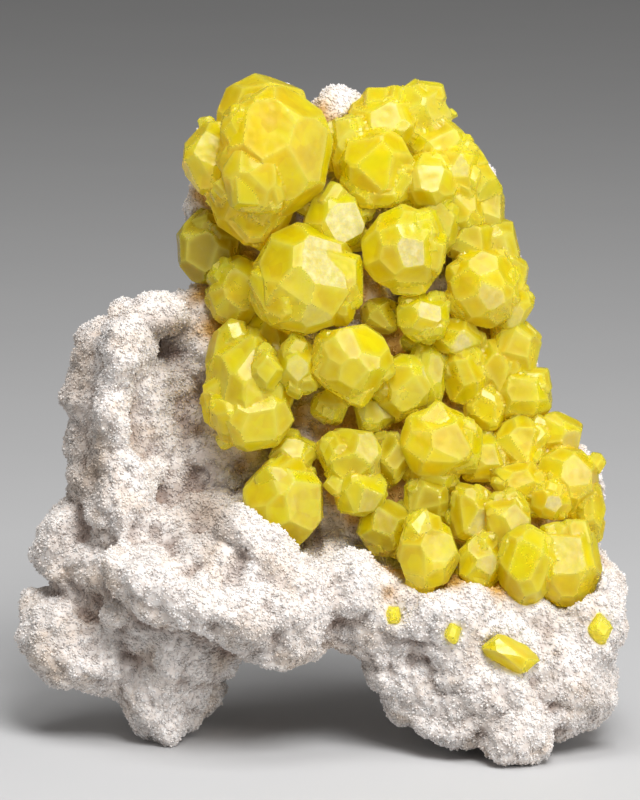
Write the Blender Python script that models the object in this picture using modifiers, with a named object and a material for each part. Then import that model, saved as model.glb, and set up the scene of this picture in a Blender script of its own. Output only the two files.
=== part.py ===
"""Native sulfur on its matrix.

A cabinet specimen: a leaning wall of bright sulfur crystals grown on a white, sugary rock.
The rock stands on two feet with an open arch between them.  A tall fin of the rock rises
beside the crystals, and a thick ledge runs across below them.

Units are metres, +Z is up, +X is to the right of someone who faces the crystals, and that
person looks along +Y.  The origin is on the resting plane, under the middle of the specimen.
Every size and place in the tables is in millimetres.
"""

import math

import bmesh
import bpy
import numpy as np
from mathutils import Matrix, Vector, noise

MM = 0.001

# ---------------------------------------------------------------- driving dimensions, mm

SEAT_WIDTH = 0.7           # width of the rock behind each crystal, against the crystal's own
SEAT_START = 0.1           # where that rock begins, in half sizes behind the crystal's middle
SEAT_END = 12.0            # how far back it runs, as a y
CONTACT_GAP = 0.3          # clearance between one crystal and the next, and in the rock's sockets
ROCK_VOXEL = 1.25          # grid on which the rock's lumps are fused
ROCK_KNOB_SIZE = 7.0       # width of the larger knobs on the rock
ROCK_KNOB_HEIGHT = 1.5
ROCK_BUMP_SIZE = 3.2       # width of the smaller bumps
ROCK_BUMP_HEIGHT = 0.55
ROCK_TRIANGLES = 2250      # triangles left in the rock before the sockets are cut

NEAR = 3.0                 # crystals whose boxes are closer than this are cut clear of each other
BURIED_LOOK = 0.3          # a face whose normal has more +Y than this looks into the rock
MAIN_FORMS = ((0, 0, 1), (1, 1, 1))   # the only forms that a crystal keeps on its buried side

# Unit cell of orthorhombic sulfur, a : b : c
CELL = Vector((0.8134, 1.0, 1.9031))

# Crystal faces as Miller indices, and how far each form stands from the centre of the crystal
HABITS = {
    "blocky": {(0, 0, 1): 0.76, (1, 1, 3): 0.87, (1, 1, 1): 0.92, (0, 1, 1): 0.90,
               (1, 0, 1): 0.92},
    "plain": {(0, 0, 1): 0.80, (1, 1, 3): 0.86, (1, 1, 1): 0.88},
    "tabular": {(0, 0, 1): 0.60, (1, 1, 3): 0.80, (1, 1, 1): 0.90, (0, 1, 1): 0.86,
                (1, 0, 1): 0.90},
    "round": {(0, 0, 1): 0.78, (1, 1, 3): 0.89, (1, 1, 1): 0.90, (0, 1, 1): 0.90,
              (1, 0, 1): 0.92, (1, 1, 5): 0.86},
}

# Crystals.  Each node lists its individuals: the middle (x, y, z) and half sizes (x, y, z), the
# way the basal face looks (degrees to the right, degrees up), the spin about that face, habit.
CRYSTALS = {
    "rosette_top_left": (
        ((-7.3, -5.0, 103.4), (9.8, 8.2, 11.6), (28, 12), 20, "round"),
        ((-11.2, -9.5, 99.4), (5.6, 4.8, 6.6), (-8, -12), 50, "blocky"),
        ((-10.0, 3.0, 109.0), (8.0, 7.0, 7.4), (-31, 29), 35, "blocky"),
        ((-18.6, 1.0, 101.5), (5.4, 5.5, 7.0), (-20, 30), 5, "blocky"),
        ((-11.5, -2.0, 94.0), (7.6, 6.8, 6.8), (-12, -14), 15, "blocky"),
    ),
    "shaded_crystal": (
        ((-19.6, 4.5, 85.5), (5.8, 5.8, 6.8), (27, 3), 40, "blocky"),
    ),
    "left_middle_crystal": (
        ((-14.3, 0.0, 78.2), (5.1, 5.4, 6.7), (-6, 21), 25, "blocky"),
    ),
    "largest_crystal": (
        ((-2.6, -7.0, 81.8), (9.6, 8.8, 9.8), (37, 24), 32, "round"),
    ),
    "leaning_tablet": (
        ((2.6, -3.0, 90.6), (6.0, 5.2, 6.4), (34, 7), 62, "tabular"),
    ),
    "top_right_cluster": (
        ((9.7, -1.0, 100.2), (6.6, 6.2, 7.4), (0, 15), 20, "tabular"),
        ((5.0, 1.5, 103.2), (3.6, 4.4, 6.2), (-28, 32), 60, "blocky"),
        ((11.0, 4.5, 107.4), (6.8, 5.4, 5.8), (-35, 53), 15, "blocky"),
        ((17.0, 7.0, 108.9), (6.0, 5.5, 5.6), (46, 13), 70, "blocky"),
        ((20.5, 4.5, 103.6), (5.6, 5.0, 4.8), (-22, 58), 10, "tabular"),
        ((19.0, 0.0, 97.6), (5.2, 5.0, 5.4), (-6, 8), 40, "blocky"),
        ((23.8, 1.6, 98.6), (4.0, 4.4, 5.4), (20, 20), 25, "plain"),
        ((26.6, 4.0, 97.4), (4.0, 4.6, 5.2), (40, 31), 55, "plain"),
        ((28.2, 5.5, 92.0), (4.2, 4.8, 5.8), (31, 14), 30, "blocky"),
        ((24.2, 2.0, 92.6), (4.3, 4.6, 4.8), (21, 33), 30, "plain"),
    ),
    "round_crystal": (
        ((14.4, -5.0, 86.5), (7.4, 6.8, 7.8), (16, 0), 48, "round"),
    ),
    "pale_crystal": (
        ((20.3, 0.0, 90.3), (4.2, 4.4, 5.6), (21, 12), 15, "plain"),
    ),
    "right_shoulder": (
        ((28.0, -1.0, 79.2), (6.5, 6.0, 7.2), (18, 7), 75, "blocky"),
        ((25.8, 2.0, 87.0), (4.2, 4.2, 4.2), (7, 30), 25, "plain"),
        ((31.0, 4.5, 85.6), (3.7, 4.4, 4.8), (37, 8), 50, "plain"),
        ((32.9, 3.5, 80.6), (3.4, 4.2, 4.6), (37, 8), 20, "plain"),
        ((32.6, 1.5, 75.6), (4.2, 4.2, 4.0), (-6, 16), 10, "plain"),
    ),
    "bright_tablet": (
        ((17.8, -5.0, 74.9), (5.1, 4.4, 4.1), (21, 26), 32, "tabular"),
    ),
    "olive_crystal": (
        ((10.2, -2.0, 74.6), (3.4, 3.6, 3.3), (-12, 21), 45, "plain"),
    ),
    "dark_chip": (
        ((15.6, -0.8, 70.0), (2.6, 2.6, 2.1), (7, 34), 10, "tabular"),
    ),
    "right_middle_cluster": (
        ((24.9, -2.5, 64.2), (3.9, 4.2, 5.5), (3, 10), 60, "tabular"),
        ((23.2, -1.5, 70.8), (4.6, 4.0, 3.3), (15, 18), 70, "plain"),
        ((34.0, 1.0, 68.2), (4.3, 4.6, 5.5), (18, 15), 20, "plain"),
        ((30.2, 0.5, 65.0), (4.3, 4.4, 5.4), (0, 16), 10, "plain"),
        ((35.0, 0.5, 60.4), (6.0, 5.6, 5.2), (3, 22), 45, "blocky"),
        ((28.6, -1.5, 58.4), (3.7, 3.8, 4.1), (6, 27), 15, "plain"),
    ),
    "wavy_crystal": (
        ((5.4, -9.0, 67.8), (7.2, 6.4, 6.9), (-6, -17), 15, "round"),
    ),
    "narrow_crystal": (
        ((-4.1, -6.0, 67.5), (3.4, 4.4, 5.4), (7, 10), 86, "tabular"),
    ),
    "rosette_left": (
        ((-12.0, -6.0, 62.6), (8.1, 7.2, 10.6), (3, 4), 85, "blocky"),
        ((-11.4, -9.0, 58.0), (6.8, 5.8, 6.0), (10, -6), 60, "blocky"),
        ((-14.4, -3.5, 67.8), (5.8, 6.2, 6.2), (-30, 26), 40, "blocky"),
        ((-9.2, -11.0, 66.4), (2.9, 2.9, 3.5), (6, 8), 0, "plain"),
        ((-9.2, -3.0, 70.8), (4.1, 4.4, 3.6), (8, 47), 30, "plain"),
    ),
    "small_rim_crystal": (
        ((1.6, -5.0, 59.2), (3.3, 3.2, 2.8), (-12, 4), 20, "plain"),
    ),
    "grey_facet_crystal": (
        ((9.2, -4.0, 57.6), (3.6, 3.6, 3.3), (47, 21), 35, "plain"),
    ),
    "paired_crystals": (
        ((14.2, -4.5, 62.8), (5.4, 5.0, 5.9), (9, -17), 80, "blocky"),
        ((18.4, -3.0, 64.2), (3.7, 4.2, 5.8), (31, 14), 20, "blocky"),
    ),
    "deep_gold_crystal": (
        ((20.6, -8.5, 53.4), (7.1, 6.4, 6.4), (15, 15), 65, "blocky"),
        ((19.8, -7.5, 47.9), (5.0, 4.6, 3.6), (-6, -11), 30, "plain"),
    ),
    "capped_crystal": (
        ((5.5, -9.0, 51.0), (5.8, 5.4, 5.5), (41, 52), 30, "blocky"),
        ((6.9, -10.5, 45.2), (4.8, 4.4, 4.4), (34, -12), 40, "plain"),
        ((2.8, -11.5, 46.7), (2.2, 2.2, 2.0), (-13, 27), 10, "plain"),
    ),
    "dark_sliver": (
        ((12.6, -8.0, 50.8), (2.9, 3.6, 4.4), (18, 10), 0, "plain"),
    ),
    "lower_left_crystal": (
        ((-6.4, -10.2, 43.0), (7.6, 7.2, 8.2), (38, 1), 40, "blocky"),
        ((-4.5, -6.5, 51.2), (4.3, 4.2, 3.0), (0, 47), 15, "plain"),
    ),
    "low_olive_crystal": (
        ((11.8, -10.5, 38.8), (5.3, 4.8, 4.8), (-6, 21), 25, "plain"),
    ),
    "dull_crystal": (
        ((18.4, -9.5, 43.8), (4.2, 4.0, 4.1), (12, 21), 35, "plain"),
    ),
    "pale_faced_crystal": (
        ((18.4, -16.5, 35.8), (5.4, 5.6, 7.2), (17, 30), 10, "tabular"),
    ),
    "cluster_foot_middle": (
        ((27.5, -15.0, 33.6), (4.2, 4.6, 5.3), (34, 11), 82, "tabular"),
        ((26.0, -11.0, 41.4), (4.0, 4.4, 5.6), (18, -8), 30, "plain"),
        ((32.0, -12.0, 40.6), (4.2, 4.6, 5.5), (18, 18), 70, "plain"),
    ),
    "cluster_foot_right": (
        ((35.4, -16.5, 33.8), (5.0, 5.4, 7.2), (-6, 10), 20, "blocky"),
        ((42.4, -14.0, 33.4), (6.3, 6.2, 7.8), (-3, 23), 50, "blocky"),
    ),
    "upper_right_cluster": (
        ((39.9, -10.0, 43.8), (3.7, 3.8, 3.6), (0, 16), 40, "tabular"),
        ((34.6, -7.5, 46.2), (4.7, 4.6, 4.0), (3, 27), 65, "plain"),
        ((42.6, -6.5, 46.4), (5.8, 5.6, 6.3), (13, 24), 80, "blocky"),
        ((41.2, -1.5, 53.4), (4.6, 4.8, 4.0), (15, 4), 25, "plain"),
        ((46.4, -5.5, 41.2), (3.0, 5.0, 6.8), (45, 7), 10, "blocky"),
        ((34.8, -3.5, 52.4), (5.0, 4.8, 4.8), (7, 34), 5, "plain"),
        ((28.0, -5.0, 50.0), (4.2, 4.2, 4.4), (12, 21), 50, "plain"),
    ),
    "leaning_shard": (
        ((32.4, -24.5, 19.7), (5.4, 2.8, 3.4), (7, 37), 40, "tabular"),
    ),
    "lone_crystal_right": (
        ((47.9, -19.4, 23.0), (1.9, 2.4, 2.4), (25, 21), 0, "plain"),
    ),
    "lone_crystal_middle": (
        ((22.6, -24.5, 23.4), (1.1, 2.0, 1.7), (0, 22), 20, "plain"),
    ),
    "lone_crystal_left": (
        ((12.6, -21.5, 26.0), (1.1, 2.0, 1.5), (0, 22), 50, "plain"),
    ),
}

# Lumps that the rock is fused from: middle (x, y, z) and half sizes (x, y, z)
ROCK_LUMPS = {
    "wall behind the crystals": (
        ((2.0, 7.5, 107.0), (5.4, 6.0, 6.4)),
        ((3.0, 14.5, 97.0), (16.0, 10.0, 12.0)),
        ((-18.5, 10.0, 93.0), (5.0, 7.0, 9.5)),
        ((-10.0, 13.0, 92.0), (10.0, 9.0, 12.0)),
        ((11.5, 16.0, 85.0), (14.5, 11.5, 18.0)),
        ((2.0, 15.0, 76.0), (18.0, 12.0, 20.0)),
        ((16.0, 14.5, 66.0), (16.5, 12.5, 17.0)),
        ((22.0, 14.0, 51.5), (17.0, 15.5, 17.0)),
        ((31.0, 6.5, 39.0), (16.5, 15.5, 14.0)),
        ((46.8, 2.0, 40.5), (3.2, 7.0, 8.0)),
        ((8.0, 8.0, 45.0), (19.0, 15.5, 16.0)),
    ),
    "right foot": (
        ((33.0, -1.0, 19.5), (18.0, 20.0, 14.0)),
        ((29.0, -13.0, 13.5), (13.0, 12.0, 12.0)),
        ((40.0, -8.0, 13.0), (11.5, 15.0, 11.5)),
        ((33.0, -20.5, 6.0), (6.0, 6.5, 8.0)),
        ((22.5, -16.0, 7.5), (5.5, 7.0, 7.0)),
        ((34.0, 8.0, 8.0), (12.0, 10.0, 9.0)),
        ((46.0, -9.0, 24.0), (6.6, 12.0, 11.0)),
        ((22.0, -16.0, 25.0), (11.0, 9.0, 7.5)),
    ),
    "roof of the arch": (
        ((0.0, -5.0, 26.0), (17.0, 14.0, 8.5)),
        ((-9.0, -10.0, 24.0), (12.0, 12.0, 8.0)),
        ((-7.0, -17.0, 21.5), (8.5, 7.0, 5.5)),
        ((10.0, -12.0, 23.5), (9.0, 9.0, 7.5)),
        ((13.0, -11.0, 15.5), (6.0, 9.0, 6.5)),
        ((16.5, -11.0, 10.0), (6.0, 9.0, 6.0)),
        ((2.0, 8.0, 26.5), (17.0, 11.0, 9.0)),
    ),
    "ledge": (
        ((-33.5, -16.0, 33.5), (4.6, 7.0, 3.8)),
        ((-29.0, -16.5, 31.0), (6.5, 9.0, 5.6)),
        ((-21.5, -18.0, 28.0), (8.5, 9.5, 6.0)),
        ((-14.0, -18.5, 26.0), (8.0, 9.5, 6.0)),
        ((-6.0, -19.0, 27.0), (7.5, 8.0, 6.0)),
        ((-12.0, -13.0, 33.5), (4.2, 7.0, 7.8)),
        ((-14.0, -17.0, 40.4), (4.4, 4.8, 4.8)),
        ((-9.4, -18.6, 36.0), (4.6, 4.6, 4.8)),
        ((-4.0, -17.0, 31.0), (5.0, 7.0, 5.0)),
        ((5.5, -17.0, 31.0), (6.0, 7.0, 6.0)),
        ((-34.0, -10.0, 23.5), (5.0, 8.0, 3.4)),
    ),
    "left foot": (
        ((-25.0, -4.0, 19.5), (9.5, 13.0, 9.0)),
        ((-28.0, -3.0, 8.6), (7.0, 9.5, 10.4)),
        ((-25.0, 7.0, 8.5), (7.5, 9.5, 9.5)),
        ((-19.5, 0.0, 14.5), (5.0, 12.0, 5.0)),
    ),
    "left lobes": (
        ((-44.5, 3.0, 33.5), (6.2, 9.0, 7.6)),
        ((-37.0, 2.0, 29.0), (8.0, 11.0, 9.0)),
        ((-45.5, -2.0, 17.0), (6.8, 9.0, 6.8)),
        ((-38.5, -2.0, 15.5), (8.0, 11.0, 6.6)),
        ((-48.0, 1.0, 21.0), (4.4, 7.0, 4.6)),
    ),
    "fin": (
        ((-36.0, -4.0, 57.0), (3.4, 7.0, 19.0)),
        ((-33.5, -5.0, 70.0), (3.8, 6.0, 7.6)),
        ((-28.5, -2.0, 75.6), (6.6, 5.5, 3.4)),
        ((-39.6, 6.0, 59.0), (5.2, 7.0, 12.5)),
        ((-37.0, 6.0, 68.5), (4.4, 6.0, 5.5)),
        ((-39.0, 5.0, 44.0), (5.6, 9.0, 12.0)),
        ((-34.0, -4.0, 42.0), (5.6, 9.0, 10.0)),
        ((-25.0, 9.5, 62.0), (11.0, 7.5, 14.0)),
        ((-30.5, 2.0, 55.0), (5.0, 7.0, 15.0)),
        ((-24.0, 8.5, 46.0), (13.0, 10.0, 16.0)),
        ((-12.0, 12.0, 58.0), (12.0, 9.0, 20.0)),
        ((-20.0, 7.5, 70.5), (11.0, 7.0, 8.5)),
        ((-20.0, -2.0, 36.0), (10.0, 12.0, 8.0)),
    ),
}

SULFUR_YELLOW = (0.80, 0.66, 0.03, 1.0)
ROCK_WHITE = (0.82, 0.78, 0.74, 1.0)


# ---------------------------------------------------------------- scene and object helpers

def clear_scene():
    """Remove whatever the file holds, so that only the specimen is left."""
    for obj in list(bpy.data.objects):
        bpy.data.objects.remove(obj, do_unlink=True)


def collection(name):
    """A new collection in the scene."""
    group = bpy.data.collections.new(name)
    bpy.context.scene.collection.children.link(group)
    return group


def material(name, colour, roughness):
    """A Principled material in one colour."""
    made = bpy.data.materials.new(name)
    made.use_nodes = True
    shader = made.node_tree.nodes["Principled BSDF"]
    shader.inputs["Base Color"].default_value = colour
    shader.inputs["Roughness"].default_value = roughness
    shader.inputs["Metallic"].default_value = 0.0
    return made


def mesh_object(name, bm, group):
    """An object in `group` that takes the bmesh over."""
    mesh = bpy.data.meshes.new(name)
    bm.to_mesh(mesh)
    bm.free()
    obj = bpy.data.objects.new(name, mesh)
    group.objects.link(obj)
    return obj


def settle_modifiers(obj):
    """Replace the object's mesh by what its modifiers make of it."""
    graph = bpy.context.evaluated_depsgraph_get()
    settled = bpy.data.meshes.new_from_object(obj.evaluated_get(graph))
    old = obj.data
    obj.modifiers.clear()
    obj.data = settled
    bpy.data.meshes.remove(old)


def boolean(obj, tool, operation):
    """Join `tool` to the object, or cut it out of the object, and remove it."""
    step = obj.modifiers.new(operation.lower(), "BOOLEAN")
    step.operation = operation
    step.object = tool
    step.solver = "EXACT"
    settle_modifiers(obj)
    bpy.data.objects.remove(tool, do_unlink=True)


def bodies_of(bm):
    """The bmesh's separate bodies, as lists of vertices."""
    unseen = set(bm.verts)
    bodies = []
    while unseen:
        front = [unseen.pop()]
        body = list(front)
        while front:
            vert = front.pop()
            fresh = {edge.other_vert(vert) for edge in vert.link_edges} & unseen
            unseen -= fresh
            body.extend(fresh)
            front.extend(fresh)
        bodies.append(body)
    return bodies


def keep_largest_body(obj):
    """Delete the crumbs that a cut has left beside the main body."""
    bm = bmesh.new()
    bm.from_mesh(obj.data)
    for crumb in sorted(bodies_of(bm), key=len)[:-1]:
        bmesh.ops.delete(bm, geom=crumb, context="VERTS")
    bm.to_mesh(obj.data)
    bm.free()


# ---------------------------------------------------------------- crystals

def cut_to_plane(bm, point, normal):
    """Cut away what lies beyond a plane and close the cut with one flat face."""
    everything = bm.verts[:] + bm.edges[:] + bm.faces[:]
    cut = bmesh.ops.bisect_plane(
        bm, geom=everything, plane_co=point, plane_no=normal, dist=1e-7, clear_outer=True
    )
    rim = [item for item in cut["geom_cut"] if isinstance(item, bmesh.types.BMEdge)]
    if rim:
        bmesh.ops.contextual_create(bm, geom=rim)


def body_between(planes, reach):
    """The closed body that a set of planes (point, outward normal) cuts out of a cube."""
    bm = bmesh.new()
    bmesh.ops.create_cube(bm, size=2.0 * reach)
    for point, normal in planes:
        cut_to_plane(bm, point, normal)
    bmesh.ops.recalc_face_normals(bm, faces=bm.faces[:])
    return bm


def crystal_axes(face, spin):
    """Rotation that turns the basal face to look `face` degrees right and up, spun about it."""
    right, up = (math.radians(angle) for angle in face)
    looks = Vector((
        math.sin(right) * math.cos(up),
        -math.cos(right) * math.cos(up),
        math.sin(up),
    ))
    return looks.to_track_quat("Z", "Y").to_matrix() @ Matrix.Rotation(math.radians(spin), 3, "Z")


def form_normals(index):
    """The outward normals of every face of one crystal form."""
    signs = [(1, -1) if number else (1,) for number in index]
    for x in signs[0]:
        for y in signs[1]:
            for z in signs[2]:
                signed = (index[0] * x, index[1] * y, index[2] * z)
                yield Vector([number / edge for number, edge in zip(signed, CELL)]).normalized()


def crystal_planes(middle, half, face, spin, habit):
    """The planes of one crystal at its real size and place, in metres."""
    axes = crystal_axes(face, spin)
    faces = [
        (index, distance, axes @ normal)
        for index, distance in HABITS[habit].items()
        for normal in form_normals(index)
    ]
    unit_body = body_between([(outward * distance, outward) for _, distance, outward in faces], 3.0)
    corners = np.array([vert.co for vert in unit_body.verts])
    unit_body.free()
    low, high = corners.min(axis=0), corners.max(axis=0)
    unit_middle = Vector((low + high) / 2.0)
    stretch = Matrix.Diagonal(Vector(2.0 * MM * np.array(half) / (high - low)))
    return [
        (
            stretch @ (outward * distance - unit_middle) + Vector(middle) * MM,
            (stretch.inverted() @ outward).normalized(),
        )
        for index, distance, outward in faces
        if outward.y < BURIED_LOOK or index in MAIN_FORMS
    ]


def crystal_body(name, planes, growth, group):
    """One crystal, its faces moved out by `growth`."""
    centre = sum((point for point, _ in planes), Vector()) / len(planes)
    moved = [(point - centre + normal * growth, normal) for point, normal in planes]
    bm = body_between(moved, 0.05)
    bmesh.ops.translate(bm, verts=bm.verts[:], vec=centre)
    return mesh_object(name, bm, group)


def near_each_other(node, individual):
    """Whether an individual's box comes near the node's box."""
    corners = np.array([vert.co for vert in node.data.vertices])
    middle, half = (np.array(values) * MM for values in individual[:2])
    room = half + NEAR * MM
    apart = (corners.min(axis=0) > middle + room) | (corners.max(axis=0) < middle - room)
    return not apart.any()


def build_crystals(group, yellow):
    """Every node of crystals.  A node is cut clear of the nodes that stand in front of it."""
    by_depth = sorted(CRYSTALS.items(), key=lambda item: item[1][0][0][1])
    in_front = []
    for name, individuals in by_depth:
        planes = [crystal_planes(*individual) for individual in individuals]
        node = crystal_body(name, planes[0], 0.0, group)
        for other in planes[1:]:
            boolean(node, crystal_body("individual", other, 0.0, group), "UNION")
        for individual, other in in_front:
            if near_each_other(node, individual):
                room = crystal_body("neighbour", other, CONTACT_GAP * MM, group)
                boolean(node, room, "DIFFERENCE")
        keep_largest_body(node)
        node.data.materials.clear()
        node.data.materials.append(yellow)
        in_front.extend(zip(individuals, planes))
    return [planes for _, planes in in_front]


# ---------------------------------------------------------------- rock

def rock_relief(place):
    """How far the knobs and bumps lift the rock's surface at a place, in metres."""
    knob = 0.5 - noise.voronoi(place / (ROCK_KNOB_SIZE * MM))[0][0]
    bump = 0.5 - noise.voronoi(place / (ROCK_BUMP_SIZE * MM))[0][0]
    return (knob * ROCK_KNOB_HEIGHT + bump * ROCK_BUMP_HEIGHT) * 2.0 * MM


def seats():
    """A lump of rock behind each crystal, so that every crystal grows out of the wall."""
    for individuals in CRYSTALS.values():
        for (x, y, z), (half_x, half_y, half_z), *_ in individuals:
            start = y + SEAT_START * half_y
            end = max(SEAT_END, start + 2.0 * half_y)
            half = (SEAT_WIDTH * half_x, (end - start) / 2.0, SEAT_WIDTH * half_z)
            yield (x, (start + end) / 2.0, z), half


def build_rock(group, white):
    """The matrix: lumps fused on a grid, given knobs, thinned, and ground flat under the feet."""
    lumps = [lump for region in ROCK_LUMPS.values() for lump in region]
    bm = bmesh.new()
    for middle, half in [*lumps, *seats()]:
        place = Matrix.Translation(Vector(middle) * MM) @ Matrix.Diagonal(
            (*(size * MM for size in half), 1.0)
        )
        bmesh.ops.create_icosphere(bm, subdivisions=4, radius=1.0, matrix=place)
    rock = mesh_object("matrix", bm, group)

    fuse = rock.modifiers.new("fuse lumps", "REMESH")
    fuse.mode = "VOXEL"
    fuse.voxel_size = ROCK_VOXEL * MM
    soften = rock.modifiers.new("soften creases", "SMOOTH")
    soften.factor = 0.5
    soften.iterations = 3
    settle_modifiers(rock)

    raised = [vert.co + vert.normal * rock_relief(vert.co) for vert in rock.data.vertices]
    for vert, place in zip(rock.data.vertices, raised):
        vert.co = place
    thin = rock.modifiers.new("thin", "DECIMATE")
    thin.ratio = ROCK_TRIANGLES / (2.0 * len(rock.data.polygons))
    settle_modifiers(rock)

    bm = bmesh.new()
    bm.from_mesh(rock.data)
    cut_to_plane(bm, Vector((0.0, 0.0, 0.0)), Vector((0.0, 0.0, -1.0)))
    bm.to_mesh(rock.data)
    bm.free()
    rock.data.materials.clear()
    rock.data.materials.append(white)
    return rock


def cut_sockets(rock, crystals, group):
    """Cut a socket in the rock for each crystal, a little larger than the crystal."""
    for number, planes in enumerate(crystals):
        socket = crystal_body(f"socket_{number:02d}", planes, CONTACT_GAP * MM, group)
        socket.hide_render = True
        socket.display_type = "WIRE"
    carve = rock.modifiers.new("sockets", "BOOLEAN")
    carve.operation = "DIFFERENCE"
    carve.operand_type = "COLLECTION"
    carve.collection = group
    carve.solver = "EXACT"
    settle_modifiers(rock)
    keep_largest_body(rock)


# ---------------------------------------------------------------- the specimen

def centre_over_origin(objects):
    """Move everything so that the origin lies under the middle of the specimen."""
    corners = np.concatenate([
        np.array([vert.co for vert in obj.data.vertices]) for obj in objects
    ])
    low, high = corners.min(axis=0), corners.max(axis=0)
    shift = Matrix.Translation((-(low[0] + high[0]) / 2.0, -(low[1] + high[1]) / 2.0, 0.0))
    for obj in objects:
        obj.data.transform(shift)


def main():
    clear_scene()
    specimen = collection("native sulfur")
    sockets = collection("sockets")
    yellow = material("sulfur", SULFUR_YELLOW, 0.25)
    white = material("rock", ROCK_WHITE, 0.85)
    crystals = build_crystals(specimen, yellow)
    rock = build_rock(specimen, white)
    cut_sockets(rock, crystals, sockets)
    centre_over_origin(list(specimen.objects))


main()
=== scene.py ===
import math

import bmesh
import bpy
import numpy as np
from mathutils import Matrix, Vector, noise


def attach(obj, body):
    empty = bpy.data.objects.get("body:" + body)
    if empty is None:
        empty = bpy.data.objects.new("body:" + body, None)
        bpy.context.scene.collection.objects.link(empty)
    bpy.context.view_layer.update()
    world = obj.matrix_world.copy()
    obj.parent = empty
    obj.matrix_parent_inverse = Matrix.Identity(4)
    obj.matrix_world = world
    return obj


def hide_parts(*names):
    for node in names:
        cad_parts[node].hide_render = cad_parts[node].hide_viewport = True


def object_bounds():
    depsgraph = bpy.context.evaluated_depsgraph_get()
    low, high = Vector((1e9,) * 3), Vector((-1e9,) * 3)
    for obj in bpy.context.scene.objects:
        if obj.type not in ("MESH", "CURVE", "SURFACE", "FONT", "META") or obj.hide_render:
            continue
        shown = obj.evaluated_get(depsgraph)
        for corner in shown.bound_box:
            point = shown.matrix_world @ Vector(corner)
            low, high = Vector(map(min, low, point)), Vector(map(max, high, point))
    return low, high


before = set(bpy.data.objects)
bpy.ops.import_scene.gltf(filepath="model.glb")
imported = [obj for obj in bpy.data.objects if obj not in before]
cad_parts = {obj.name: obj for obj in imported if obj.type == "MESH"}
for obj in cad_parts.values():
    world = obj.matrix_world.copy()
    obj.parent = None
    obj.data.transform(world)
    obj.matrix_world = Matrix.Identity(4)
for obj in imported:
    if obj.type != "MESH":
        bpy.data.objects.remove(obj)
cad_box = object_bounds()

MM = 0.001

# The camera aims at the middle of the specimen, from a little above it. Its places are in metres.
CAMERA_TARGET = (0.0, 0.0, 0.0594)
CAMERA_DISTANCE = 1.0
CAMERA_RISE = 10.0
CAMERA_LENS = 259.5

# Crystals, in mm. The axes of the sulfur cell set the angles between the faces.
CELL = (0.8134, 1.0, 1.9031)
CRYSTAL_VOXEL = 0.30
CRYSTAL_SWELL = 1.03
EDGE_SOFTNESS = 0.03
JOIN_SOFTNESS = 0.03
EDGE_REACH = 0.17
# Width in mm of the painted highlight along the crystals' edges.
RIM_HIGHLIGHT_WIDTH = 0.3
SETTLE_STEP = 1.2
# The least angle in degrees that shows as a sharp edge.
SHARP_EDGE = 15.0
# How close to a point, in squared half sizes, a body counts as it settles and as it is made crisp.
SETTLE_NEAR = 2.4
CRISP_NEAR = 2.0
# A distance that no skin is away, in metres.
FAR = 9.0

# Faces of each habit by index, and how far out each stands as a share of the ellipsoid.
FORMS = {
    "blocky": {(0, 0, 1): 0.80, (1, 1, 3): 0.89, (1, 1, 1): 0.92, (0, 1, 1): 0.92, (1, 0, 1): 0.93},
    "plain": {(0, 0, 1): 0.80, (1, 1, 3): 0.88, (1, 1, 1): 0.90},
    "tabular": {(0, 0, 1): 0.70, (1, 1, 3): 0.84, (1, 1, 1): 0.91, (0, 1, 1): 0.89, (1, 0, 1): 0.92},
    "round": {(0, 0, 1): 0.80, (1, 1, 3): 0.92, (1, 1, 1): 0.93, (0, 1, 1): 0.93, (1, 0, 1): 0.94,
              (1, 1, 5): 0.91},
}
FACE_JITTER = 0.04
# Small odd faces that round a habit off: how many, how far out, and how far from every other face.
SMALL_FACES = {"blocky": 12, "plain": 9, "tabular": 9, "round": 24}
SMALL_FACE_SHARE = (0.92, 1.0)
SMALL_FACE_ROOM = 0.925
SMALL_FACE_TRIES = 12
# How near in angle, as a cosine, a habit's own face may come to a face that stands out.
FACET_ROOM = 0.90

# How deep the yellow of a node is, where it isn't PLAIN_TONE; on shaded_crystal, which lies in shadow, it is
# painted shade.
PLAIN_TONE = 0.1
TONES = {"shaded_crystal": 0.85, "olive_crystal": 0.8, "dull_crystal": 0.7, "low_olive_crystal": 0.7,
         "dark_sliver": 0.8, "dark_chip": 0.8, "left_middle_crystal": 0.4, "cluster_foot_middle": 0.4,
         "right_middle_cluster": 0.35, "upper_right_cluster": 0.35, "right_shoulder": 0.3,
         "small_rim_crystal": 0.4, "grey_facet_crystal": 0.4}

# Small crystals that stand alone on the lower rock, with nothing grown on them.
LONE = ("leaning_shard", "lone_crystal_right", "lone_crystal_middle", "lone_crystal_left")
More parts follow.
